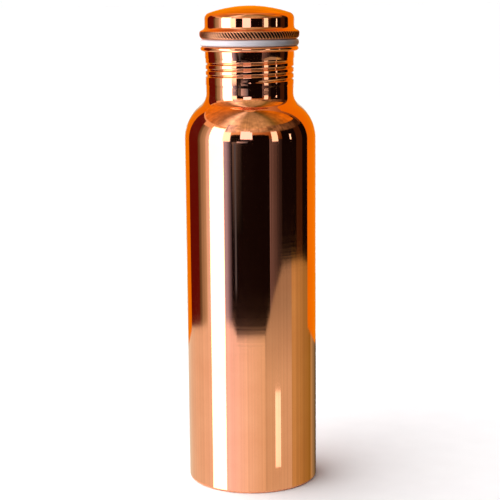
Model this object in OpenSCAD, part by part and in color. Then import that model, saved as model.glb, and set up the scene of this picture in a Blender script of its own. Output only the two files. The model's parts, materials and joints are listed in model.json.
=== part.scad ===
// Copper water bottle with a screw-in cap.
// The body is spun sheet with a pressed base, a rolled neck thread and a rolled mouth bead.
// The cap is a pressed dome whose rim holds a threaded plug and bears on a gasket.
// Origin at the centre of the base, +Z up, millimetres.

/* [Bottle] */
// Outside diameter of the straight body
body_d = 72; // [68:1:78]
// Height at which the straight body ends and the shoulder starts
body_h = 192; // [120:1:240]
// Thickness of the copper sheet
sheet_t = 0.5; // [0.45:0.05:0.55]
// Radius of the convex shoulder, in section
shoulder_r = 23.5; // [22:0.5:26]
// Radius of the hollow sweep between the shoulder and the neck, in section
sweep_r = 8; // [5:0.5:10]
// Outside radius of the corner between the wall and the foot
corner_r = 1.2; // [1:0.1:2]

/* [Base] */
// Width of the flat ring that the bottle stands on
foot_w = 2.2; // [1.6:0.1:3]
// Height of the hollow under the edge of the base disc
base_recess = 4.2; // [3:0.1:7]
// Rise of the base disc from its edge to its centre
base_crown = 1.2; // [0.6:0.1:2]

/* [Neck] */
// Outside diameter of the plain neck below the thread
neck_d = 47.8; // [47.4:0.1:47.9]
// Length of the plain neck below the thread
neck_plain_h = 4.3; // [3:0.1:8]
// Outside diameter of the sheet that the thread is rolled into
thread_d = 48.2; // [48.1:0.1:48.4]
// Outside diameter of the plain collar above the thread
collar_d = 48.8; // [48.6:0.1:49.4]
// Height of the collar between the thread and the mouth bead
collar_h = 3.5; // [2.5:0.1:6]
// Outside diameter of the rolled mouth bead
bead_d = 53.5; // [53:0.1:54]

/* [Thread] */
// Pitch of the single-start right-hand thread
pitch = 3.2; // [3:0.1:3.2]
// Depth of the rolled thread
thread_depth = 0.65; // [0.5:0.05:0.7]
// Clearance between the plug's ridge and the neck's groove
thread_gap = 0.3; // [0.25:0.01:0.35]
// Turns of the neck's groove, from one faded end to the other
groove_turns = 3.3; // [2.5:0.1:3.3]
// Turns of the plug's ridge, from one faded end to the other
ridge_turns = 3.1; // [2.5:0.1:3.1]

/* [Cap] */
// Outside diameter of the cap above its rim
cap_d = 48.8; // [48:0.1:50]
// Outside diameter of the rim
rim_d = 54.4; // [54:0.1:55]
// Height of the rim
rim_h = 5.2; // [4.8:0.1:6]
// Height from the top of the rim to the top of the dome
dome_h = 12.8; // [12:0.1:16]
// Radius of the dome's spherical top
dome_r = 67; // [60:1:90]
// Radius of the edge between the dome and the cap's wall, in section
dome_edge_r = 3.5; // [2.5:0.1:4]
// Length of the plug below the rim
plug_h = 23.7; // [23.7:0.1:24.5]

/* [Gasket] */
// Outside diameter of the gasket
gasket_d = 53.8; // [53:0.1:54.2]
// Inside diameter of the gasket
gasket_id = 46.2; // [45.9:0.1:46.6]
// Thickness of the gasket
gasket_t = 3.4; // [2.8:0.1:3.6]

/* [Hidden] */
$fn = 180;

copper = "#c9703f";
copper_inside = "#b4653c";
silicone = "#e9e6de";

// Steps round a helical sheet, and rows up it
thread_steps = 60;
thread_rows = 22;
// Steps along each arc of a section
arc_steps = 10;
// A helical sheet laps into plain sheet at both ends, with both skins inside that sheet
lap = 0.25;
skin_in = 0.03;
plain_lap_h = 0.4;
// Share of a turn over which a groove or ridge fades at each end
fade = 0.2;
// Length of the taper from one neck diameter to the next
taper_h = 0.7;

body_r = body_d / 2;
neck_r = neck_d / 2;
thread_r = thread_d / 2;
collar_r = collar_d / 2;

// The shoulder's arc and the sweep's arc touch at this angle
shoulder_x = body_r - shoulder_r;
sweep_x = neck_r + sweep_r;
sweep_z = body_h + sqrt(pow(shoulder_r + sweep_r, 2) - pow(sweep_x - shoulder_x, 2));
touch_a = atan2(sweep_z - body_h, sweep_x - shoulder_x);

// Levels of the neck, and the section of the mouth bead, which is a sheet curled outwards
neck_top = sweep_z + neck_plain_h;
band_z = neck_top + taper_h + plain_lap_h;
band_h = 12.9;
band_top = band_z + band_h;
collar_z = band_top + plain_lap_h + taper_h;
curl_r = (bead_d - collar_d) / 4 + sheet_t / 2;
curl_x = collar_r - sheet_t + curl_r;
curl_z = collar_z + collar_h + curl_r;
curl_end = -140;
mouth_z = curl_z + curl_r;

// Levels and section of the base pan
pan_edge_r = body_r - corner_r - 0.1;
pan_turn_r = body_r - corner_r - foot_w - 0.2;
pan_disc_r = pan_turn_r - 1.8;
pan_turn_h = 1;
pan_r = (pow(pan_disc_r, 2) + pow(base_crown, 2)) / (2 * base_crown);
pan_a = acos(pan_disc_r / pan_r);

// Levels and section of the cap
rim_z = mouth_z + gasket_t;
rim_top = rim_z + rim_h;
cap_top = rim_top + dome_h;
cap_r = cap_d / 2;
rim_r = rim_d / 2;
rim_upper_r = 1.8;
rim_lower_r = 2.6;
lip_r = 23.6;
flare_a = 75;
flare_r = (rim_r - rim_upper_r * (1 - cos(flare_a)) - cap_r) / (1 - cos(flare_a));
flare_z = rim_top - rim_upper_r + (rim_upper_r + flare_r) * sin(flare_a);
dome_z = cap_top - dome_r;
edge_x = cap_r - dome_edge_r;
edge_z = dome_z + sqrt(pow(dome_r - dome_edge_r, 2) - pow(edge_x, 2));
edge_a = atan2(edge_z - dome_z, edge_x);

// Levels of the plug; its ridge stands out of its wall and runs in the neck's thread
plug_r = thread_r - sheet_t - thread_depth - thread_gap;
plug_corner_r = 1.5;
plug_z = rim_z - plug_h;
plug_band_z = plug_z + plug_corner_r + plain_lap_h;
plug_band_h = 13.4;
plug_band_top = plug_band_z + plug_band_h;
flange_r = rim_r - rim_lower_r - 0.1;

// Height of the groove's lowest turn on the +X side, and the turn at which it starts
groove_z = band_z + 2.5;
groove_start = -0.28;
ridge_z = groove_z + pitch / 2;
ridge_start = -0.1;

// Radius of the gasket's rounded outer edge, in section
gasket_edge_r = 1.3;

// Points of an arc of radius r about (x, z), from angle a0 to angle a1
function arc(x, z, r, a0, a1) =
    [for (i = [0:arc_steps]) let (a = a0 + (a1 - a0) * i / arc_steps) [x + r * cos(a), z + r * sin(a)]];

// One smooth step from 0 to 1 as x goes from 0 to 1
function ease(x) = let (c = min(1, max(0, x))) c * c * (3 - 2 * c);

// Share of full depth that a helix has at angle a, which is -180 to 180, and height z
function helix(a, z, z0, start, turns) =
    let (u = (z - z0) / pitch - a / 360)
    let (turn = round(u) + a / 360 - start)
    (1 + cos(360 * (u - round(u)))) / 2 * ease(turn / fade) * ease((turns - turn) / fade);

function neck_skin(a, z) =
    thread_r - thread_depth * helix(a, z, groove_z, groove_start, groove_turns);

function plug_skin(a, z) =
    plug_r + thread_depth * helix(a, z, ridge_z, ridge_start, ridge_turns);

// A tube of sheet with a thread rolled into it, from z0 to z1, lapping the plain sheet at both ends
module threaded_band(z0, z1, plain_r, on_plug) {
    wall = sheet_t - 3 * skin_in;
    levels = [
        z0 - lap,
        for (i = [0:thread_rows]) z0 + (z1 - z0) * i / thread_rows,
        z1 + lap
    ];
    last = len(levels) - 1;
    radii = [
        for (k = [0:last])
            [for (i = [0:thread_steps - 1])
                let (a = 360 * i / thread_steps - 180)
                let (plain = k <= 1 || k >= last - 1)
                (plain ? plain_r : on_plug ? plug_skin(a, levels[k]) : neck_skin(a, levels[k])) - skin_in]
    ];
    points = [
        for (inset = [0, wall])
            for (k = [0:last])
                for (i = [0:thread_steps - 1])
                    let (a = 360 * i / thread_steps - 180)
                    [(radii[k][i] - inset) * cos(a), (radii[k][i] - inset) * sin(a), levels[k]]
    ];
    skin = (last + 1) * thread_steps;
    faces = [
        for (k = [0:last - 1])
            for (i = [0:thread_steps - 1])
                let (j = (i + 1) % thread_steps)
                let (low = k * thread_steps)
                let (high = low + thread_steps)
                each [
                    [low + i, high + i, high + j],
                    [low + i, high + j, low + j],
                    [skin + low + i, skin + high + j, skin + high + i],
                    [skin + low + i, skin + low + j, skin + high + j]
                ],
        for (i = [0:thread_steps - 1])
            let (j = (i + 1) % thread_steps)
            let (high = last * thread_steps)
            each [
                [i, j, skin + j],
                [i, skin + j, skin + i],
                [high + i, skin + high + j, high + j],
                [high + i, skin + high + i, skin + high + j]
            ]
    ];
    polyhedron(points, faces, convexity = 8);
}

// Foot, wall, shoulder and plain neck in section, up to the thread
module lower_section() {
    foot_x = body_r - corner_r;
    polygon(concat(
        [[foot_x - foot_w, 0]],
        arc(foot_x, corner_r, corner_r, -90, 0),
        arc(shoulder_x, body_h, shoulder_r, 0, touch_a),
        arc(sweep_x, sweep_z, sweep_r, 180 + touch_a, 180),
        [[neck_r, neck_top], [thread_r, neck_top + taper_h], [thread_r, band_z]],
        [[thread_r - sheet_t, band_z], [thread_r - sheet_t, neck_top + taper_h], [neck_r - sheet_t, neck_top]],
        arc(sweep_x, sweep_z, sweep_r + sheet_t, 180, 180 + touch_a),
        arc(shoulder_x, body_h, shoulder_r - sheet_t, touch_a, 0),
        arc(foot_x, corner_r, corner_r - sheet_t, 0, -90),
        [[foot_x - foot_w, sheet_t]]
    ));
}

// Collar and mouth bead in section, from the thread up
module upper_section() {
    low = band_top + plain_lap_h;
    polygon(concat(
        [[thread_r, band_top], [thread_r, low], [collar_r, collar_z], [collar_r, curl_z]],
        arc(curl_x, curl_z, curl_r - sheet_t, 180, curl_end),
        arc(curl_x, curl_z, curl_r, curl_end, 180),
        [[collar_r - sheet_t, collar_z], [thread_r - sheet_t, low], [thread_r - sheet_t, band_top]]
    ));
}

module body_shell() {
    color(copper) {
        rotate_extrude() lower_section();
        threaded_band(band_z, band_top, thread_r, false);
        rotate_extrude() upper_section();
    }
}

// Pressed base disc, whose flange is soldered to the inside of the foot
module base_pan() {
    low = base_recess - pan_turn_h;
    crown_z = base_recess + base_crown - pan_r;
    color(copper_inside) rotate_extrude() polygon(concat(
        [[pan_edge_r, sheet_t], [pan_turn_r, sheet_t], [pan_disc_r + pan_turn_h, low]],
        arc(0, crown_z, pan_r, pan_a, 90),
        arc(0, crown_z, pan_r + sheet_t, 90, pan_a),
        [[pan_disc_r + pan_turn_h + sheet_t, low + sheet_t / 2]],
        [[pan_turn_r + sheet_t / 2, 2 * sheet_t], [pan_edge_r, 2 * sheet_t]]
    ));
}

// Dome, wall, flare and rim in one pressed sheet, with a lip turned in under the rim
module cap_shell() {
    rim_x = rim_r - rim_upper_r;
    rim_low_x = rim_r - rim_lower_r;
    flare_x = cap_r + flare_r;
    color(copper) rotate_extrude() polygon(concat(
        arc(0, dome_z, dome_r, 90, edge_a),
        arc(edge_x, edge_z, dome_edge_r, edge_a, 0),
        arc(flare_x, flare_z, flare_r, 180, 180 + flare_a),
        arc(rim_x, rim_top - rim_upper_r, rim_upper_r, flare_a, 0),
        arc(rim_low_x, rim_z + rim_lower_r, rim_lower_r, 0, -90),
        [[lip_r, rim_z], [lip_r, rim_z + sheet_t]],
        arc(rim_low_x, rim_z + rim_lower_r, rim_lower_r - sheet_t, -90, 0),
        arc(rim_x, rim_top - rim_upper_r, rim_upper_r - sheet_t, 0, flare_a),
        arc(flare_x, flare_z, flare_r + sheet_t, 180 + flare_a, 180),
        arc(edge_x, edge_z, dome_edge_r - sheet_t, 0, edge_a),
        arc(0, dome_z, dome_r - sheet_t, edge_a, 90)
    ));
}

// Threaded cup under the cap, with a flange that is soldered to the rim's lip
module cap_plug() {
    bottom_x = plug_r - plug_corner_r;
    bottom_z = plug_z + plug_corner_r;
    flange_z = rim_z + sheet_t;
    color(copper_inside) {
        rotate_extrude() polygon(concat(
            [[0, plug_z]],
            arc(bottom_x, bottom_z, plug_corner_r, -90, 0),
            [[plug_r, plug_band_z], [plug_r - sheet_t, plug_band_z]],
            arc(bottom_x, bottom_z, plug_corner_r - sheet_t, 0, -90),
            [[0, plug_z + sheet_t]]
        ));
        threaded_band(plug_band_z, plug_band_top, plug_r, true);
        rotate_extrude() polygon([
            [plug_r, plug_band_top],
            [plug_r, flange_z],
            [flange_r, flange_z],
            [flange_r, flange_z + sheet_t],
            [plug_r - sheet_t, flange_z + sheet_t],
            [plug_r - sheet_t, plug_band_top]
        ]);
    }
}

module gasket() {
    edge_x = gasket_d / 2 - gasket_edge_r;
    color(silicone) rotate_extrude() polygon(concat(
        [[gasket_id / 2, mouth_z]],
        arc(edge_x, mouth_z + gasket_edge_r, gasket_edge_r, -90, 0),
        arc(edge_x, rim_z - gasket_edge_r, gasket_edge_r, 0, 90),
        [[gasket_id / 2, rim_z]]
    ));
}

body_shell();
base_pan();
cap_shell();
cap_plug();
gasket();
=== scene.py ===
import json
import math

import bpy
from mathutils import Matrix, Vector, noise as perlin


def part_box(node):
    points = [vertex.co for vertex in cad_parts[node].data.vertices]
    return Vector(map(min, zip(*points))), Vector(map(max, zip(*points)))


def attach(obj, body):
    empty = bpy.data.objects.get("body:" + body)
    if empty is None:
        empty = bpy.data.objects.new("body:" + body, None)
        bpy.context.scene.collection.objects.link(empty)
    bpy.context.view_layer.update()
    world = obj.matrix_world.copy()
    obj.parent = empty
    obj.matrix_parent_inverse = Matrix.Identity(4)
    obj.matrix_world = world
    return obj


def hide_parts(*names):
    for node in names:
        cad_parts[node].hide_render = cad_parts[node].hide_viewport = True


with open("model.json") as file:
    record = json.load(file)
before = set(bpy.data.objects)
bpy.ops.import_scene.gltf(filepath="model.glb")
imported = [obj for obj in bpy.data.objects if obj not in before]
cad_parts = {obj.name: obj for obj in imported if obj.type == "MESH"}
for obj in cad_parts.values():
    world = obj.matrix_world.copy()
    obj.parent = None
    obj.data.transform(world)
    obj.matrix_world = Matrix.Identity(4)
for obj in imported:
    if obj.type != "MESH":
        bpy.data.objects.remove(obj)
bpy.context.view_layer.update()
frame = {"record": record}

# The copper water bottle, finished for looking at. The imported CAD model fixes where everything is,
# and each of its five sheet-metal and silicone pieces gets a finer mesh of the same outline here.
# Lengths are metres, angles are radians unless a name ends in _DEG or _deg, and +Z is up.

MM = 0.001


# ---------------------------------------------------------------- sizes, from the frame

BODY_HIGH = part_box("body_shell")[1]
PAN_LOW, PAN_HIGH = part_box("base_pan")
GASKET_LOW, GASKET_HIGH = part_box("gasket")
CAP_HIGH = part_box("cap_shell")[1]
PLUG_LOW, PLUG_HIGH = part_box("cap_plug")
PITCH = 2 * math.pi * frame["record"]["behaviour"]["couplings"][0]["ratio"]

BODY_R = BODY_HIGH[0]
MOUTH_Z = BODY_HIGH[2]
GASKET_R = GASKET_HIGH[0]
RIM_Z = GASKET_HIGH[2]
RIM_R = CAP_HIGH[0]
CAP_TOP = CAP_HIGH[2]
PLUG_Z = PLUG_LOW[2]

# Sheet and body
SHEET = 0.5 * MM
BODY_H = 192 * MM
SHOULDER_R = 23.5 * MM
SWEEP_R = 8 * MM
CORNER_R = 1.2 * MM
FOOT_W = 2.2 * MM

# Neck, from the sweep up to the mouth bead
NECK_R = 23.9 * MM
NECK_PLAIN_H = 4.3 * MM
THREAD_R = 24.1 * MM
THREAD_DEPTH = 0.65 * MM
BAND_H = 12.9 * MM
PLAIN_LAP = 0.4 * MM
TAPER_H = 0.7 * MM
COLLAR_R = 24.4 * MM
BEAD_R = 26.75 * MM
CURL_END_DEG = -140

# Cap
CAP_R = 24.4 * MM
RIM_H = 5.2 * MM
RIM_UPPER_R = 1.8 * MM
RIM_LOWER_R = 2.6 * MM
LIP_R = 23.6 * MM
FLARE_DEG = 75
DOME_R = 67 * MM
DOME_EDGE_R = 3.5 * MM

# Knurl. A tooth is one turn of its phase, from ridge to ridge: it sinks over the first share of it,
# and comes back up over the rest. Between two phases, with soft edges, lies dark oxide in the valley
# and painted shade over most of both flanks.
KNURL_TEETH = 94
KNURL_COLUMNS = 12
KNURL_DEPTH = 0.42 * MM
KNURL_LEAN = 0.70
KNURL_SLOPE = 0.70
KNURL_MATT = 0.30
KNURL_LOW = 0.35 * MM
KNURL_HIGH = 0.55 * MM
KNURL_IN = 0.4 * MM
KNURL_FADE = 0.9 * MM
# Where the dark band of oxide and painted shade starts, rises and falls, in shares of a tooth
KNURL_OXIDE_SHADE_START = 0.18
KNURL_OXIDE_SHADE_RISE = 0.12
KNURL_OXIDE_SHADE_FALL = 0.06

# Plug
THREAD_GAP = 0.3 * MM
PLUG_R = THREAD_R - SHEET - THREAD_DEPTH - THREAD_GAP
PLUG_CORNER_R = 1.5 * MM
PLUG_BAND_H = 13.4 * MM
PLUG_STEP_R = 15 * MM
PLUG_STEP_H = 0.8 * MM
PLUG_STEP_W = 1.0 * MM
ROOT_OUT = 0.1 * MM
ROOT_LOW = 0.3 * MM
ROOT_LOW_INSIDE = 0.2 * MM

# Base. The two bends are points out and up from the disc's edge, under the sheet and over it.
PAN_GAP = 0.2 * MM
BEND_UNDER = ((1.0 * MM, -1.0 * MM), (0.35 * MM, -0.25 * MM))
BEND_OVER = ((0.5 * MM, 0.3 * MM), (1.5 * MM, -0.8 * MM))
TURN_OVER = 0.25 * MM
DISC_IN = 1.8 * MM
DISC_CROWN = 1.2 * MM
RING_R = 21 * MM
RING_W = 2.2 * MM
RING_H = 0.35 * MM

# Gasket
GASKET_HOLE_R = 23.1 * MM
GASKET_EDGE_R = 1.3 * MM
GASKET_CHAMFER = 0.3 * MM
MOULD_LINE = 0.05 * MM

# The helix of the thread: where its lowest turn crosses +X, and where it starts and ends, in turns.
# The groove is narrow between flat lands, and its oxide is thin.
GROOVE_RISE = 2.5 * MM
GROOVE_START = -0.28
GROOVE_TURNS = 3.3
RIDGE_START = -0.1
RIDGE_TURNS = 3.1
FADE_TURNS = 0.2
GROOVE_NARROW = 4
GROOVE_SOIL = 0.12

# Mesh: columns round each piece, the distance between the rows of a formed band, and the sharpest
# fold that is still shaded as smooth
BODY_COLUMNS = 288
BASE_COLUMNS = 192
PLUG_COLUMNS = 216
GASKET_COLUMNS = 192
GROOVE_ROW = 0.12 * MM
FINE_ROW = 0.16 * MM
COARSE_ROW = 1 * MM
SUPPORT_IN = 0.6 * MM
DISC_ROWS = 60
SMOOTH_DEG = 50
TINY = 1e-7


# ---------------------------------------------------------------- sections and meshes

def arc(x, z, radius, start_deg, end_deg, step_deg=4.0):
    """Points of an arc about (x, z), from one angle to another."""
    count = max(2, math.ceil(abs(end_deg - start_deg) / step_deg))
    points = []
    for i in range(count + 1):
        a = math.radians(start_deg + (end_deg - start_deg) * i / count)
        points.append((x + radius * math.cos(a), z + radius * math.sin(a)))
    return points


def rows(r0, z0, r1, z1, spacing):
    """Points of a straight stretch between its ends, no further apart than spacing."""
    count = max(1, math.ceil(math.hypot(r1 - r0, z1 - z0) / spacing))
    return [(r0 + (r1 - r0) * i / count, z0 + (z1 - z0) * i / count) for i in range(1, count)]


def wall(r, z0, z1):
    """A straight wall's ends and a support row just inside each, so that its shading stays straight."""
    support = math.copysign(SUPPORT_IN, z1 - z0)
    return [(r, z0), (r, z0 + support), (r, z1 - support), (r, z1)]


def without_doubles(section):
    """The section without points that stand on the one before."""
    kept = []
    for point in section:
        if not kept or math.dist(kept[-1], point) > TINY:
            kept.append(point)
    return kept


def revolve(name, section, columns, shape=None):
    """Turn a closed section of (r, z) points about Z.
    shape(angle, r, z) gives a point's own radius, the share of it that dark oxide and painted shade
    cover, and how matt its cut is, from 0 for the turned skin to 1 for the knurl."""
    section = without_doubles(section)
    area = sum(a[0] * b[1] - b[0] * a[1] for a, b in zip(section, section[1:] + section[:1]))
    if area < 0:
        section.reverse()
    verts = []
    oxide_and_shade_values = []
    matted = []
    rings = []
    for r, z in section:
        if r < TINY:
            rings.append([len(verts)] * columns)
            verts.append((0.0, 0.0, z))
            oxide_and_shade_values.append(0.0)
            matted.append(0.0)
            continue
        rings.append(list(range(len(verts), len(verts) + columns)))
        for j in range(columns):
            a = 2 * math.pi * j / columns - math.pi
            radius, oxide_and_shade, matt = shape(a, r, z) if shape else (r, 0.0, 0.0)
            verts.append((radius * math.cos(a), radius * math.sin(a), z))
            oxide_and_shade_values.append(oxide_and_shade)
            matted.append(matt)
    faces = []
    for low, high in zip(rings, rings[1:] + rings[:1]):
        for j in range(columns):
            k = (j + 1) % columns
            face = [low[j], low[k], high[k], high[j]]
            face = [v for i, v in enumerate(face) if v not in face[:i]]
            if len(face) > 2:
                faces.append(face)
    mesh = bpy.data.meshes.new(name)
    mesh.from_pydata(verts, [], faces)
    mesh.validate()
    # Each point's share of dark oxide and painted shade, and how matt it is
    for layer, values in (("oxide_and_shade", oxide_and_shade_values), ("matt", matted)):
        mesh.attributes.new(layer, "FLOAT", "POINT").data.foreach_set("value", values)
    mesh.shade_smooth()
    mesh.set_sharp_from_angle(angle=math.radians(SMOOTH_DEG))
    piece = bpy.data.objects.new(name, mesh)
    bpy.context.scene.collection.objects.link(piece)
    return piece


def ease(x):
    """A smooth step from 0 to 1."""
    c = min(1.0, max(0.0, x))
    return c * c * (3 - 2 * c)


def helix_share(angle, z, z0, start, turns, narrow):
    """Share of its full depth that the thread has at an angle and height. It fades at both ends.
    narrow is 1 for a plain wave, and more for a narrow groove between flat lands."""
    u = (z - z0) / PITCH - angle / (2 * math.pi)
    nearest = math.floor(u + 0.5)
    turn = nearest + angle / (2 * math.pi) - start
    across = (0.5 * (1 + math.cos(2 * math.pi * (u - nearest)))) ** narrow
    return across * ease(turn / FADE_TURNS) * ease((turns - turn) / FADE_TURNS)


# ---------------------------------------------------------------- the pieces

SHOULDER_X = BODY_R - SHOULDER_R
SWEEP_X = NECK_R + SWEEP_R
SWEEP_Z = BODY_H + math.sqrt((SHOULDER_R + SWEEP_R) ** 2 - (SWEEP_X - SHOULDER_X) ** 2)
TOUCH_DEG = math.degrees(math.atan2(SWEEP_Z - BODY_H, SWEEP_X - SHOULDER_X))
NECK_TOP = SWEEP_Z + NECK_PLAIN_H
BAND_Z = NECK_TOP + TAPER_H + PLAIN_LAP
BAND_TOP = BAND_Z + BAND_H
GROOVE_Z = BAND_Z + GROOVE_RISE


def body_skin(inset):
    """The body's skin from the foot to the collar, at a distance in from the outer skin."""
    foot_x = BODY_R - CORNER_R
    low = BAND_TOP + PLAIN_LAP
    return (
        arc(foot_x, CORNER_R, CORNER_R - inset, -90, 0, 9)
        + wall(BODY_R - inset, CORNER_R, BODY_H)
        + arc(SHOULDER_X, BODY_H, SHOULDER_R - inset, 0, TOUCH_DEG, 1.5)
        + arc(SWEEP_X, SWEEP_Z, SWEEP_R + inset, 180 + TOUCH_DEG, 180, 2.5)
        + wall(NECK_R - inset, SWEEP_Z, NECK_TOP)
        + [(THREAD_R - inset, NECK_TOP + TAPER_H), (THREAD_R - inset, BAND_Z)]
        + rows(THREAD_R - inset, BAND_Z, THREAD_R - inset, BAND_TOP, GROOVE_ROW)
        + [(THREAD_R - inset, BAND_TOP), (THREAD_R - inset, low)]
        + [(COLLAR_R - inset, low + TAPER_H)]
    )


def make_body():
    """The bottle's sheet: its outer skin, the mouth's curl and its inner skin."""
    foot_x = BODY_R - CORNER_R
    curl_r = (BEAD_R - COLLAR_R) / 2 + SHEET / 2
    curl_x = COLLAR_R - SHEET + curl_r
    curl_z = MOUTH_Z - curl_r
    section = (
        [(foot_x - FOOT_W, 0)]
        + body_skin(0)
        + [(COLLAR_R, curl_z)]
        + arc(curl_x, curl_z, curl_r - SHEET, 180, CURL_END_DEG, 8)
        + arc(curl_x, curl_z, curl_r, CURL_END_DEG, 180, 6)
        + body_skin(SHEET)[::-1]
        + [(foot_x - FOOT_W, SHEET)]
    )

    def rolled(angle, r, z):
        if BAND_Z <= z <= BAND_TOP:
            sunk = helix_share(angle, z, GROOVE_Z, GROOVE_START, GROOVE_TURNS, GROOVE_NARROW)
            return r - THREAD_DEPTH * sunk, GROOVE_SOIL * sunk, 0.0
        return r, 0.0, 0.0

    return revolve("bottle_body", section, BODY_COLUMNS, rolled)


def make_base():
    """The pressed base disc: flange, turned-up edge, crowned disc with one pressed ring."""
    flange_r = PAN_HIGH[0]
    low = PAN_LOW[2]
    turn_r = BODY_R - CORNER_R - FOOT_W - PAN_GAP
    disc_r = turn_r - DISC_IN
    crown = PAN_HIGH[2] - SHEET
    disc_z = crown - DISC_CROWN

    def under(r):
        bowl = crown - (crown - disc_z) * (r / disc_r) ** 2
        return bowl - RING_H * math.exp(-((r - RING_R) / RING_W) ** 2)

    radii = [disc_r * (1 - i / DISC_ROWS) for i in range(DISC_ROWS + 1)]
    disc = [(r, under(r)) for r in radii]
    lower = [(flange_r, low), (turn_r, low)]
    lower += [(disc_r + out, disc_z + up) for out, up in BEND_UNDER] + disc
    upper = [(r, z + SHEET) for r, z in disc[::-1]]
    upper += [(disc_r + out, disc_z + up) for out, up in BEND_OVER]
    upper += [(turn_r + TURN_OVER, low + SHEET), (flange_r, low + SHEET)]
    return revolve("bottle_base", lower + upper, BASE_COLUMNS)


def make_cap():
    """Dome, wall, flare and knurled rim."""
    rim_top = RIM_Z + RIM_H
    rim_x = RIM_R - RIM_UPPER_R
    rim_low_x = RIM_R - RIM_LOWER_R
    rim_high_z = rim_top - RIM_UPPER_R
    rim_low_z = RIM_Z + RIM_LOWER_R
    flare_cos = math.cos(math.radians(FLARE_DEG))
    flare_r = (RIM_R - RIM_UPPER_R * (1 - flare_cos) - CAP_R) / (1 - flare_cos)
    flare_x = CAP_R + flare_r
    flare_z = rim_high_z + (RIM_UPPER_R + flare_r) * math.sin(math.radians(FLARE_DEG))
    dome_z = CAP_TOP - DOME_R
    edge_x = CAP_R - DOME_EDGE_R
    edge_z = dome_z + math.sqrt((DOME_R - DOME_EDGE_R) ** 2 - edge_x ** 2)
    edge_deg = math.degrees(math.atan2(edge_z - dome_z, edge_x))

    def skin(inset, fine):
        rim_row = FINE_ROW if fine else COARSE_ROW
        return (
            arc(0, dome_z, DOME_R - inset, 90, edge_deg, 1.0)
            + arc(edge_x, edge_z, DOME_EDGE_R - inset, edge_deg, 0, 4)
            + wall(CAP_R - inset, edge_z, flare_z)
            + arc(flare_x, flare_z, flare_r + inset, 180, 180 + FLARE_DEG, 7)
            + arc(rim_x, rim_high_z, RIM_UPPER_R - inset, FLARE_DEG, 0, 5 if fine else 15)
            + rows(RIM_R - inset, rim_high_z, RIM_R - inset, rim_low_z, rim_row)
            + arc(rim_low_x, rim_low_z, RIM_LOWER_R - inset, 0, -90, 4 if fine else 15)
        )

    outside = skin(0, True)
    section = outside + [(LIP_R, RIM_Z), (LIP_R, RIM_Z + SHEET)] + skin(SHEET, False)[::-1]
    knurl_low = RIM_Z + KNURL_LOW
    knurl_high = rim_top - KNURL_HIGH
    knurl_edge = rim_low_x + KNURL_IN
    knurl_rows = {(r, z) for r, z in outside if knurl_low < z < knurl_high and r > knurl_edge}

    def knurled(angle, r, z):
        if (r, z) not in knurl_rows:
            return r, 0.0, 0.0
        share = ease((z - knurl_low) / KNURL_FADE) * ease((knurl_high - z) / KNURL_FADE)
        turn = KNURL_TEETH * (angle + KNURL_LEAN * (z - RIM_Z) / RIM_R) / (2 * math.pi)
        phase = turn - math.floor(turn)
        valley = phase / KNURL_SLOPE if phase < KNURL_SLOPE else (1 - phase) / (1 - KNURL_SLOPE)
        # Oxide in the valley, and painted shade over most of both flanks beside it
        oxide_and_shade = ease((phase - KNURL_OXIDE_SHADE_START) / KNURL_OXIDE_SHADE_RISE)
        oxide_and_shade *= ease((1 - phase) / KNURL_OXIDE_SHADE_FALL)
        return r - KNURL_DEPTH * share * valley, share * oxide_and_shade, share

    return revolve("cap_dome", section, KNURL_TEETH * KNURL_COLUMNS, knurled)


def make_plug():
    """The threaded cup under the cap, with a pressed step in its closed end."""
    bottom_x = PLUG_R - PLUG_CORNER_R
    bottom_z = PLUG_Z + PLUG_CORNER_R
    band_z = bottom_z + PLAIN_LAP
    band_top = band_z + PLUG_BAND_H
    flange_r = PLUG_HIGH[0]
    flange_z = RIM_Z + SHEET
    step_z = PLUG_Z + PLUG_STEP_H
    step_in_r = PLUG_STEP_R - PLUG_STEP_W
    end_low = [(0, step_z), (step_in_r, step_z), (PLUG_STEP_R, PLUG_Z)]
    end_high = [(r, z + SHEET) for r, z in end_low[::-1]]
    inner = PLUG_R - SHEET
    section = (
        end_low
        + arc(bottom_x, bottom_z, PLUG_CORNER_R, -90, 0, 9)
        + rows(PLUG_R, bottom_z, PLUG_R, band_top, FINE_ROW)
        + [(PLUG_R, band_top), (PLUG_R, flange_z - ROOT_LOW), (PLUG_R + ROOT_OUT, flange_z)]
        + [(flange_r, flange_z), (flange_r, flange_z + SHEET)]
        + [(inner + ROOT_OUT, flange_z + SHEET), (inner, flange_z + SHEET - ROOT_LOW_INSIDE)]
        + [(inner, band_top)]
        + rows(inner, band_top, inner, bottom_z, FINE_ROW)
        + arc(bottom_x, bottom_z, PLUG_CORNER_R - SHEET, 0, -90, 15)
        + end_high
    )

    def rolled(angle, r, z):
        if band_z <= z <= band_top:
            ridge_z = GROOVE_Z + PITCH / 2
            out = THREAD_DEPTH * helix_share(angle, z, ridge_z, RIDGE_START, RIDGE_TURNS, 1)
            return r + out, 0.0, 0.0
        return r, 0.0, 0.0

    return revolve("cap_plug_cup", section, PLUG_COLUMNS, rolled)


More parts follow.
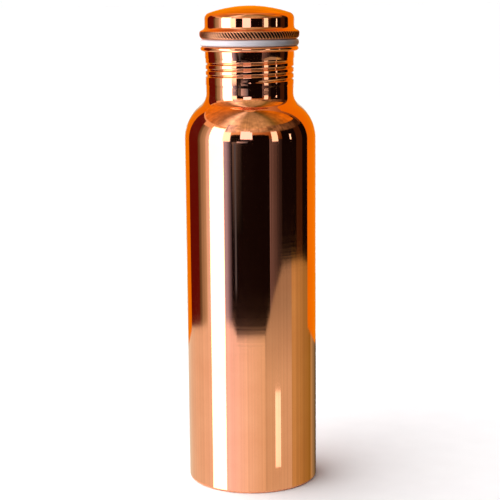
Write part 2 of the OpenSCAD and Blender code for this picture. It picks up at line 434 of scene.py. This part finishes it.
def make_gasket():
    """The silicone ring, with the fine parting line of its mould round its edge."""
    edge_x = GASKET_R - GASKET_EDGE_R
    low = GASKET_LOW[2]
    high = GASKET_HIGH[2]
    middle = (low + high) / 2
    line_r = GASKET_R - MOULD_LINE
    chamfer_r = GASKET_HOLE_R + GASKET_CHAMFER
    section = (
        [(chamfer_r, low)]
        + arc(edge_x, low + GASKET_EDGE_R, GASKET_EDGE_R, -90, 0, 6)
        + [(line_r, middle - MOULD_LINE), (GASKET_R, middle), (line_r, middle + MOULD_LINE)]
        + arc(edge_x, high - GASKET_EDGE_R, GASKET_EDGE_R, 0, 90, 6)
        + [(chamfer_r, high)]
        + [(GASKET_HOLE_R, high - GASKET_CHAMFER), (GASKET_HOLE_R, low + GASKET_CHAMFER)]
    )
    return revolve("gasket_ring", section, GASKET_COLUMNS)


# ---------------------------------------------------------------- materials

def new_material(name):
    """A material with its nodes, its links and its shader."""
    material = bpy.data.materials.new(name)
    material.use_nodes = True
    nodes = material.node_tree.nodes
    shader = nodes["Principled BSDF"]
    return material, nodes, material.node_tree.links, shader


def maths(nodes, links, operation, *values):
    """A Math node over numbers and other nodes' outputs."""
    node = nodes.new("ShaderNodeMath")
    node.operation = operation
    for socket, value in zip(node.inputs, values):
        if isinstance(value, (int, float)):
            socket.default_value = value
        else:
            links.new(value, socket)
    return node.outputs[0]


def lathe_coordinates(nodes, links, round_scale, line_scale):
    """Coordinates that change fast across the lathe's lines and slowly round the axis."""
    place = nodes.new("ShaderNodeTexCoord")
    split = nodes.new("ShaderNodeSeparateXYZ")
    links.new(place.outputs["Object"], split.inputs[0])
    flat = nodes.new("ShaderNodeCombineXYZ")
    links.new(split.outputs["X"], flat.inputs["X"])
    links.new(split.outputs["Y"], flat.inputs["Y"])
    radius = nodes.new("ShaderNodeVectorMath")
    radius.operation = "LENGTH"
    links.new(flat.outputs[0], radius.inputs[0])
    across = maths(nodes, links, "ADD", radius.outputs["Value"], split.outputs["Z"])
    joined = nodes.new("ShaderNodeCombineXYZ")
    for axis in ("X", "Y"):
        side = maths(nodes, links, "MULTIPLY", split.outputs[axis], round_scale)
        links.new(side, joined.inputs[axis])
    links.new(maths(nodes, links, "MULTIPLY", across, line_scale), joined.inputs["Z"])
    return joined.outputs[0]


def noise(nodes, links, vector, scale, detail, roughness=0.5):
    texture = nodes.new("ShaderNodeTexNoise")
    texture.inputs["Scale"].default_value = scale
    texture.inputs["Detail"].default_value = detail
    texture.inputs["Roughness"].default_value = roughness
    links.new(vector, texture.inputs["Vector"])
    return texture.outputs["Fac"]


def spread(nodes, links, value, low, high, to_low, to_high):
    """Map a value from one range to another, clamped."""
    mapped = nodes.new("ShaderNodeMapRange")
    mapped.inputs["From Min"].default_value = low
    mapped.inputs["From Max"].default_value = high
    mapped.inputs["To Min"].default_value = to_low
    mapped.inputs["To Max"].default_value = to_high
    links.new(value, mapped.inputs["Value"])
    return mapped.outputs["Result"]


def blend_colours(nodes, links, factor, first, second):
    """Mix two colours, each given as numbers or as another node's output."""
    mix = nodes.new("ShaderNodeMix")
    mix.data_type = "RGBA"
    for name, colour in (("A", first), ("B", second)):
        socket = next(i for i in mix.inputs if i.name == name and i.type == "RGBA")
        if isinstance(colour, tuple):
            socket.default_value = (*colour, 1)
        else:
            links.new(colour, socket)
    links.new(factor, mix.inputs["Factor"])
    return next(o for o in mix.outputs if o.type == "RGBA")


def mesh_layer(nodes, name):
    """The value that the mesh holds for each point."""
    layer = nodes.new("ShaderNodeAttribute")
    layer.attribute_name = name
    return layer.outputs["Fac"]


def add_bump(nodes, links, shader, height, strength, distance):
    bump = nodes.new("ShaderNodeBump")
    bump.inputs["Strength"].default_value = strength
    bump.inputs["Distance"].default_value = distance
    links.new(height, bump.inputs["Height"])
    links.new(bump.outputs["Normal"], shader.inputs["Normal"])


# Dark oxide for the thread's groove and the knurl's valleys; on the knurl's flanks the same colour is
# painted shade
OXIDE_AND_SHADE = (0.012, 0.005, 0.003)
TARNISH_SCALE = 28
LINES_ROUND = 12
LINES_ACROSS = 1700
SILICONE_TINT = (0.58, 0.545, 0.58)
SILICONE_CLOUD_TINT = (0.52, 0.49, 0.51)
SILICONE_CLOUDS = 90
SILICONE_SKIN = 2600


def copper(name, bright, dull, rough_low, rough_high, line_depth, anisotropy):
    """Turned copper: lines round the axis, faint tarnish, oxide and painted shade, gloss that varies by
    line.
    """
    material, nodes, links, shader = new_material(name)
    place = nodes.new("ShaderNodeTexCoord").outputs["Object"]
    tarnish = noise(nodes, links, place, TARNISH_SCALE, 5, 0.6)
    tarnish = spread(nodes, links, tarnish, 0.38, 0.72, 0, 1)
    clean = blend_colours(nodes, links, tarnish, bright, dull)
    # The mesh's layer darkens the copper towards the oxide colour: oxide in the groove, oxide with
    # painted shade on the knurl
    tint = blend_colours(nodes, links, mesh_layer(nodes, "oxide_and_shade"), clean, OXIDE_AND_SHADE)
    links.new(tint, shader.inputs["Base Color"])
    lines = lathe_coordinates(nodes, links, LINES_ROUND, LINES_ACROSS)
    fine = noise(nodes, links, lines, 1, 3, 0.6)
    gloss = spread(nodes, links, fine, 0.3, 0.7, rough_low, rough_high)
    rough = maths(nodes, links, "MULTIPLY_ADD", mesh_layer(nodes, "matt"), KNURL_MATT, gloss)
    links.new(rough, shader.inputs["Roughness"])
    add_bump(nodes, links, shader, fine, 1, line_depth)
    round_axis = nodes.new("ShaderNodeTangent")
    round_axis.direction_type = "RADIAL"
    round_axis.axis = "Z"
    links.new(round_axis.outputs["Tangent"], shader.inputs["Tangent"])
    shader.inputs["Metallic"].default_value = 1
    shader.inputs["Anisotropic"].default_value = anisotropy
    shader.inputs["Anisotropic Rotation"].default_value = 0.25
    return material


def silicone(name):
    """Off-white silicone: soft, faintly cloudy and translucent, with a fine matt skin."""
    material, nodes, links, shader = new_material(name)
    place = nodes.new("ShaderNodeTexCoord").outputs["Object"]
    cloud = spread(nodes, links, noise(nodes, links, place, SILICONE_CLOUDS, 4), 0.35, 0.7, 0, 1)
    tint = blend_colours(nodes, links, cloud, SILICONE_TINT, SILICONE_CLOUD_TINT)
    links.new(tint, shader.inputs["Base Color"])
    skin = noise(nodes, links, place, SILICONE_SKIN, 3)
    links.new(spread(nodes, links, skin, 0.3, 0.7, 0.32, 0.5), shader.inputs["Roughness"])
    add_bump(nodes, links, shader, skin, 0.6, 0.01 * MM)
    shader.inputs["Subsurface Weight"].default_value = 0.12
    shader.inputs["Subsurface Radius"].default_value = (1.0, 0.95, 0.9)
    shader.inputs["Subsurface Scale"].default_value = 1.2 * MM
    return material


polished = copper(
    "polished_copper", (0.90, 0.40, 0.22), (0.84, 0.35, 0.185), 0.045, 0.075, 0.0005 * MM, 0.75
)
satin = copper(
    "satin_copper", (0.80, 0.37, 0.21), (0.62, 0.27, 0.15), 0.22, 0.34, 0.003 * MM, 0.5
)
soft_white = silicone("silicone")


def place(piece, node, body, slot_name, material):
    """Give a piece its material and its body, and hide the CAD node it stands for. slot_name is not
    used.
    """
    piece.data.materials.append(material)
    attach(piece, body)
    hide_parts(node)


place(make_body(), "body_shell", "bottle", "polished_copper", polished)
place(make_base(), "base_pan", "bottle", "satin_copper", satin)
place(make_cap(), "cap_shell", "cap", "polished_copper", polished)
place(make_plug(), "cap_plug", "cap", "satin_copper", satin)
place(make_gasket(), "gasket", "gasket", "silicone", soft_white)


# ---------------------------------------------------------------- camera

CAMERA_DISTANCE = 0.775
CAMERA_HEIGHT = 0.2676
CAMERA_DOWN_DEG = 10.10
CAMERA_ROLL_DEG = -0.49
CAMERA_YAW_DEG = -0.05
LENS_MM = 101.6
SENSOR_MM = 36


def add_camera():
    """The camera at the photograph's viewing angle."""
    down = math.radians(CAMERA_DOWN_DEG)
    yaw = math.radians(CAMERA_YAW_DEG)
    roll = math.radians(CAMERA_ROLL_DEG)
    ahead = Vector((math.sin(yaw) * math.cos(down), math.cos(yaw) * math.cos(down), -math.sin(down)))
    level = ahead.cross(Vector((0, 0, 1))).normalized()
    upward = level.cross(ahead)
    right = level * math.cos(roll) + upward * math.sin(roll)
    top = upward * math.cos(roll) - level * math.sin(roll)
    data = bpy.data.cameras.new("camera")
    data.sensor_width = SENSOR_MM
    data.lens = LENS_MM
    data.clip_start = 0.01
    camera = bpy.data.objects.new("camera", data)
    bpy.context.scene.collection.objects.link(camera)
    turn = Matrix((right, top, -ahead)).transposed().to_4x4()
    camera.matrix_world = Matrix.Translation((0, -CAMERA_DISTANCE, CAMERA_HEIGHT)) @ turn
    bpy.context.scene.camera = camera


add_camera()


# ---------------------------------------------------------------- studio

# Polished copper looks like what it mirrors, so most of the studio is cards that glow, and that only
# shiny surfaces see. A card is placed by where the body's face mirrors it, as seen from the camera.
CARD_STEPS = 64
STREAKS = 27.0
CLOUD_SCALE = 14.0
FLOOR_HALF = 60.0
CARD_Z = 0.0003
GLINT_Z = 0.0006
FLOOR_NEAR = 0.002
BAND_LOW = 0.345
BAND_LEFT = 0.335
BACK_HALF = 0.125
BACK_Y = 0.310
BACK_EDGE_Z = 0.29
AMBER_TOP = 0.75
ROOF_LOW = (0.34, 0.45)
ROOF_HIGH = (0.03, 0.70)
KEY_SIDES = (-0.61, -0.40)
KEY_REACH = 0.36
KEY_GLOW = 5.0
SKY_GLOW = 2.9
PLAIN_GLOW = 1.02

FLOOR_TINTS = ((0.95, 0.945, 0.94), (0.93, 0.925, 0.92))
WHITE = (1.0, 1.0, 1.0)
BLACK = (0.006, 0.003, 0.003)
AMBER = (0.97, 0.33, 0.002)
BROWN = (0.05, 0.02, 0.008)
UMBER = (0.42, 0.27, 0.15)
ROOF_AMBER = (0.86, 0.31, 0.005)
ROOF_TAN = (0.56, 0.47, 0.28)
ROOF_OLIVE = (0.20, 0.17, 0.05)
TAN = (0.34, 0.25, 0.14)
DEEP_RED = (0.13, 0.008, 0.004)
SMOKE = (0.15, 0.22, 0.36)
MIST = (0.62, 0.70, 1.20)
HAZE = (0.24, 0.24, 0.27)
ROSE = (1.05, 1.0, 1.25)
PAPER = (0.92, 0.90, 0.85)
SAND = (0.78, 0.74, 0.58)
OLIVE = (0.66, 0.55, 0.26)
BRONZE = (0.34, 0.24, 0.04)
DIM_PAPER = (0.16, 0.11, 0.03)
STRIP = (0.18, 0.15, 0.17)
BRIGHT = (1.5, 1.35, 1.2)
CREAM = (1.05, 0.88, 0.66)

# Colours of the two skies, from their dark side to their bright side
CEILING = (
    (0.20, BROWN),
    (0.45, (0.40, 0.16, 0.04)),
    (0.70, (0.85, 0.48, 0.22)),
    (1.00, (1.10, 0.80, 0.50)),
)
SOFT_SKY = (
    (0.00, (0.005, 0.005, 0.005)),
    (0.35, (0.03, 0.03, 0.03)),
    (0.55, (0.32, 0.32, 0.32)),
    (0.75, (0.90, 0.88, 0.90)),
    (1.00, (1.00, 0.98, 1.00)),
)


def stage_mesh(name, verts, faces, material):
    """A mesh of the studio, which isn't part of the bottle."""
    mesh = bpy.data.meshes.new(name)
    mesh.from_pydata(verts, [], faces)
    mesh.materials.append(material)
    thing = bpy.data.objects.new(name, mesh)
    bpy.context.scene.collection.objects.link(thing)
    return thing


def add_floor():
    """A plain pale floor of matt paper, large enough to have no edge in view."""
    material, nodes, links, shader = new_material("floor_paper")
    place_at = nodes.new("ShaderNodeTexCoord").outputs["Object"]
    grain = spread(nodes, links, noise(nodes, links, place_at, 60, 4), 0.3, 0.7, 0, 1)
    links.new(blend_colours(nodes, links, grain, *FLOOR_TINTS), shader.inputs["Base Color"])
    shader.inputs["Roughness"].default_value = 0.9
    shader.inputs["Specular IOR Level"].default_value = 0
    half = FLOOR_HALF
    corners = [(-half, -half, 0), (half, -half, 0), (half, half, 0), (-half, half, 0)]
    floor = stage_mesh("floor", corners, [(0, 1, 2, 3)], material)
    floor.visible_diffuse = False


def mirrored(side, reach):
    """The place on plan that the camera sees mirrored in the body's face.
    side is -1 at the body's left edge and 1 at its right edge. reach is how far out it is."""
    lean = math.asin(side)
    toward = 2 * lean + math.asin(BODY_R * side / CAMERA_DISTANCE)
    x = BODY_R * side + reach * math.sin(toward)
    y = -BODY_R * math.cos(lean) - reach * math.cos(toward)
    return x, y


def add_card(name, sides, lower, upper, colours, strength=1.0, streak=0.0, cloud=0.0, fade=1.0):
    """A glowing card that only shiny surfaces see. sides are its two ends, as the body mirrors them.
    lower and upper are edges: ((reach, height) at the first end, (reach, height) at the second).
    fade is how bright the upper edge is, as a share of the lower."""
    verts = []
    shades = []
    for i in range(CARD_STEPS + 1):
        share = i / CARD_STEPS
        side = sides[0] + (sides[1] - sides[0]) * share
        lines = 1 + streak * perlin.fractal((STREAKS * side, STREAKS, 0), 0.4, 2.0, 4)
        shade = [(a + (b - a) * share) * lines * strength for a, b in zip(*colours)]
        for edge, dim in ((lower, 1.0), (upper, fade)):
            reach = edge[0][0] + (edge[1][0] - edge[0][0]) * share
            height = edge[0][1] + (edge[1][1] - edge[0][1]) * share
            verts.append((*mirrored(side, reach), height))
            shades.append([part * dim for part in shade])
    faces = [(2 * i, 2 * i + 2, 2 * i + 3, 2 * i + 1) for i in range(CARD_STEPS)]
    return glowing(name, verts, faces, shades, cloud)


def glowing(name, verts, faces, shades, cloud=0.0):
    """A card that gives off a colour per point, and that only shiny surfaces see."""
    material = bpy.data.materials.new(name)
    material.use_nodes = True
    nodes = material.node_tree.nodes
    links = material.node_tree.links
    nodes.clear()
    colour = nodes.new("ShaderNodeAttribute")
    colour.attribute_name = "shade"
    light = nodes.new("ShaderNodeEmission")
    links.new(colour.outputs["Color"], light.inputs["Color"])
    place_at = nodes.new("ShaderNodeTexCoord").outputs["Object"]
    blotch = noise(nodes, links, place_at, CLOUD_SCALE, 3)
    links.new(spread(nodes, links, blotch, 0.35, 0.65, 1 - cloud, 1 + cloud), light.inputs["Strength"])
    end = nodes.new("ShaderNodeOutputMaterial")
    links.new(light.outputs[0], end.inputs["Surface"])
    card = stage_mesh(name, verts, faces, material)
    layer = card.data.color_attributes.new("shade", "FLOAT_COLOR", "POINT")
    for point, shade in zip(layer.data, shades):
        point.color = (*shade, 1)
    card.visible_camera = False
    card.visible_diffuse = False
    card.visible_shadow = False
    card.visible_transmission = False
    return card


def upright(name, sides, reaches, low, high, colours, strength=1.0, streak=0.0, cloud=0.0, fade=1.0):
    """A standing card, between two heights."""
    lower = tuple((reach, low) for reach in reaches)
    upper = tuple((reach, high) for reach in reaches)
    return add_card(name, sides, lower, upper, colours, strength, streak, cloud, fade)


def flat(name, sides, near, far, colours, strength=1.0, streak=0.0, fade=1.0, height=CARD_Z):
    """A card on the floor, between two reaches."""
    lower = ((near, height),) * 2
    upper = ((far, height),) * 2
    return add_card(name, sides, lower, upper, colours, strength, streak, 0.0, fade)


def roof(name, sides, colours):
    """A part of the ceiling that slopes up and in from the tops of the upright cards."""
    return add_card(name, sides, (ROOF_LOW,) * 2, (ROOF_HIGH,) * 2, colours, 1.3, 0.2, 0.25, 0.45)


def add_back(name, low, high, colour):
    """A flat card behind the bottle, between the two that the body's edges mirror."""
    half = BACK_HALF
    corners = [(-half, BACK_Y, low), (half, BACK_Y, low), (half, BACK_Y, high), (-half, BACK_Y, high)]
    return glowing(name, corners, [(0, 1, 2, 3)], [colour] * 4, 0.2)


def add_light(name, at, aim, width, height, power, colour):
    """A soft light that shiny surfaces don't mirror."""
    data = bpy.data.lights.new(name, "AREA")
    data.shape = "RECTANGLE"
    data.size = width
    data.size_y = height
    data.energy = power
    data.color = colour
    lamp = bpy.data.objects.new(name, data)
    bpy.context.scene.collection.objects.link(lamp)
    lamp.location = at
    lamp.rotation_euler = (Vector(aim) - Vector(at)).to_track_quat("-Z", "Y").to_euler()
    lamp.visible_camera = False
    lamp.visible_glossy = False


def sky(nodes, links, lean_to, stops):
    """A background whose colour changes along one direction, dark where the stops start."""
    place_at = nodes.new("ShaderNodeTexCoord")
    lean = nodes.new("ShaderNodeVectorMath")
    lean.operation = "DOT_PRODUCT"
    lean.inputs[1].default_value = lean_to
    links.new(place_at.outputs["Generated"], lean.inputs[0])
    ramp = nodes.new("ShaderNodeValToRGB")
    shades = ramp.color_ramp.elements
    shades[0].position = stops[0][0]
    shades[0].color = (*stops[0][1], 1)
    shades[1].position = stops[-1][0]
    shades[1].color = (*stops[-1][1], 1)
    for at, colour in stops[1:-1]:
        shades.new(at).color = (*colour, 1)
    links.new(spread(nodes, links, lean.outputs["Value"], -1, 1, 0, 1), ramp.inputs["Fac"])
    glow = nodes.new("ShaderNodeBackground")
    links.new(ramp.outputs["Color"], glow.inputs["Color"])
    return glow


def choose(nodes, links, when, otherwise, chosen):
    """One shader where a ray is of a kind, and another where it isn't."""
    mix = nodes.new("ShaderNodeMixShader")
    links.new(when, mix.inputs["Fac"])
    links.new(otherwise, mix.inputs[1])
    links.new(chosen, mix.inputs[2])
    return mix.outputs[0]


def add_world():
    """White for the camera, soft light from the left for dull surfaces, a warm sky for shiny ones."""
    world = bpy.data.worlds.new("studio")
    world.use_nodes = True
    bpy.context.scene.world = world
    nodes = world.node_tree.nodes
    links = world.node_tree.links
    nodes.clear()
    path = nodes.new("ShaderNodeLightPath")
    ceiling = sky(nodes, links, (-0.75, -0.15, 0.5), CEILING)
    soft = sky(nodes, links, (-1, 0, 0), SOFT_SKY)
    soft.inputs["Strength"].default_value = SKY_GLOW
    plain = nodes.new("ShaderNodeBackground")
    plain.inputs["Color"].default_value = (*WHITE, 1)
    plain.inputs["Strength"].default_value = PLAIN_GLOW
    unseen = choose(nodes, links, path.outputs["Is Glossy Ray"], soft.outputs[0], ceiling.outputs[0])
    seen = choose(nodes, links, path.outputs["Is Camera Ray"], unseen, plain.outputs[0])
    end = nodes.new("ShaderNodeOutputWorld")
    links.new(seen, end.inputs["Surface"])


add_floor()
add_world()

# The room in front of the bottle, from its left to its right
upright("amber_left", (-0.985, -0.92), (0.31, 0.37), 0, AMBER_TOP, (AMBER, AMBER))
upright("left_flag", (-0.92, -0.78), (0.38, 0.39), 0, 0.46, (DEEP_RED, DEEP_RED))
upright("left_shade", (-0.78, -0.67), (0.39, 0.40), 0, 0.40, (DIM_PAPER, SAND), 0.8, 0.5)
upright("left_paper", (-0.67, -0.61), (0.40, 0.40), 0, 0.40, (SAND, ROSE), 1.0, 0.2)
upright("key_window", KEY_SIDES, (KEY_REACH, KEY_REACH), 0, 0.42, (WHITE, WHITE), KEY_GLOW)
upright("key_edge", (-0.40, -0.28), (0.42, 0.40), 0, 0.33, (MIST, BLACK), 1.0, 0.2)
upright("front_flag_left", (-0.28, -0.22), (0.40, 0.366), 0, 0.33, (BLACK, BLACK))
upright("front_flag_middle", (-0.22, 0.20), (0.362, 0.368), 0, 0.33, (BLACK, BLACK))
upright("front_flag_right", (0.20, 0.28), (0.375, 0.45), 0, 0.33, (BLACK, BLACK))
upright("front_sheen", (-0.24, -0.215), (0.300, 0.300), 0.05, 0.18, (SMOKE, SMOKE), 0.6)
upright("front_haze", (-0.27, -0.12), (0.332, 0.332), 0.09, 0.20, (HAZE, BLACK), 0.08, 0.3, 0.2, 12.0)

# Panes high up, which the cap, the neck and the shoulder mirror
upright("high_pane_left", (-0.41, -0.30), (0.32, 0.30), 0.205, 0.42, (WHITE, WHITE), 2.5)
upright("high_pane_middle", (-0.15, 0.03), (0.290, 0.300), 0.238, 0.36, (ROSE, ROSE), 2.0)
upright("high_spot", (-0.20, -0.04), (0.290, 0.295), 0.188, 0.205, (ROSE, SMOKE), 0.8)
upright("high_pane_right", (0.32, 0.41), (0.340, 0.350), 0.20, 0.38, (WHITE, WHITE), 1.8)
upright("high_line", (0.585, 0.605), (0.340, 0.350), 0.21, 0.28, (WHITE, WHITE), 2.5)

upright("right_strip", (0.28, 0.47), (0.46, 0.67), 0, 0.26, (STRIP, BLACK), 1.0, 0.9)
upright("right_flag", (0.47, 0.68), (0.67, 0.69), 0, 0.50, (BLACK, BLACK))
upright("right_brown", (0.68, 0.77), (0.69, 0.69), 0, 0.50, (BROWN, BROWN))
upright("right_shade", (0.77, 0.85), (0.69, 0.67), 0, 0.50, (BLACK, BLACK))
upright("amber_right", (0.85, 0.985), (0.38, 0.31), 0, AMBER_TOP, (AMBER, AMBER))

# Bands above them, the wall behind and the ceiling
upright("high_band_left", (-0.40, -0.20), (0.30, 0.29), BAND_LEFT, 0.50, (ROSE, CREAM), 1.0, 0.3, 0.4)
upright("high_band_middle", (-0.20, 0.28), (0.29, 0.31), BAND_LOW, 0.42, (CREAM, TAN), 1.1, 0.3, 0.4)
upright("high_band_right", (0.28, 0.82), (0.31, 0.34), BAND_LOW, 0.52, (TAN, BROWN), 1.0, 0.6, 0.5)
add_back("back_paper", 0, BACK_EDGE_Z, SAND)
add_back("back_amber", BACK_EDGE_Z, AMBER_TOP, AMBER)
roof("roof_left", (-0.95, -0.56), (ROOF_AMBER, UMBER))
roof("roof_dawn", (-0.56, -0.38), (UMBER, BRIGHT))
roof("roof_window", (-0.38, -0.14), (BRIGHT, ROOF_TAN))
roof("roof_paper", (-0.14, 0.24), (ROOF_TAN, ROOF_TAN))
roof("roof_dusk", (0.24, 0.44), (ROOF_TAN, ROOF_OLIVE))
roof("roof_right", (0.44, 0.80), (ROOF_OLIVE, ROOF_AMBER))

# The floor, as far as the body mirrors it
flat("floor_far_left", (-0.999, -0.61), FLOOR_NEAR, 0.60, (SAND, PAPER), 1.1, 0.12)
flat("floor_key", KEY_SIDES, FLOOR_NEAR, KEY_REACH, (WHITE, WHITE), KEY_GLOW)
flat("floor_left", (-0.40, -0.05), FLOOR_NEAR, 0.70, (ROSE, PAPER), 1.15, 0.12)
flat("floor_middle", (-0.05, 0.20), FLOOR_NEAR, 0.80, (PAPER, SAND), 1.12, 0.12)
flat("floor_right", (0.20, 0.60), FLOOR_NEAR, 0.22, (SAND, SAND), 0.98, 0.15)
flat("floor_right_middle", (0.20, 0.60), 0.22, 0.48, (SAND, SAND), 0.98, 0.15, 0.56)
flat("floor_right_far", (0.20, 0.60), 0.48, 0.90, (SAND, SAND), 0.55, 0.15)
flat("floor_olive", (0.60, 0.90), FLOOR_NEAR, 0.80, (OLIVE, BRONZE), 1.0, 0.2)
flat("floor_far_right", (0.90, 0.999), FLOOR_NEAR, 0.60, (OLIVE, BROWN), 0.9)
flat("floor_glint", (0.345, 0.43), 0.04, 0.20, (WHITE, WHITE), 2.0, 0.3, height=GLINT_Z)

add_light("left_softbox", (-0.9, -0.7, 0.7), (0, 0, 0.2), 0.8, 0.8, 3, (1.0, 0.98, 0.98))
add_light("top_softbox", (0, 0.2, 2.2), (0, 0, 0), 3.0, 3.0, 6, (1.0, 0.99, 0.97))

bpy.context.scene.view_settings.view_transform = "Standard"
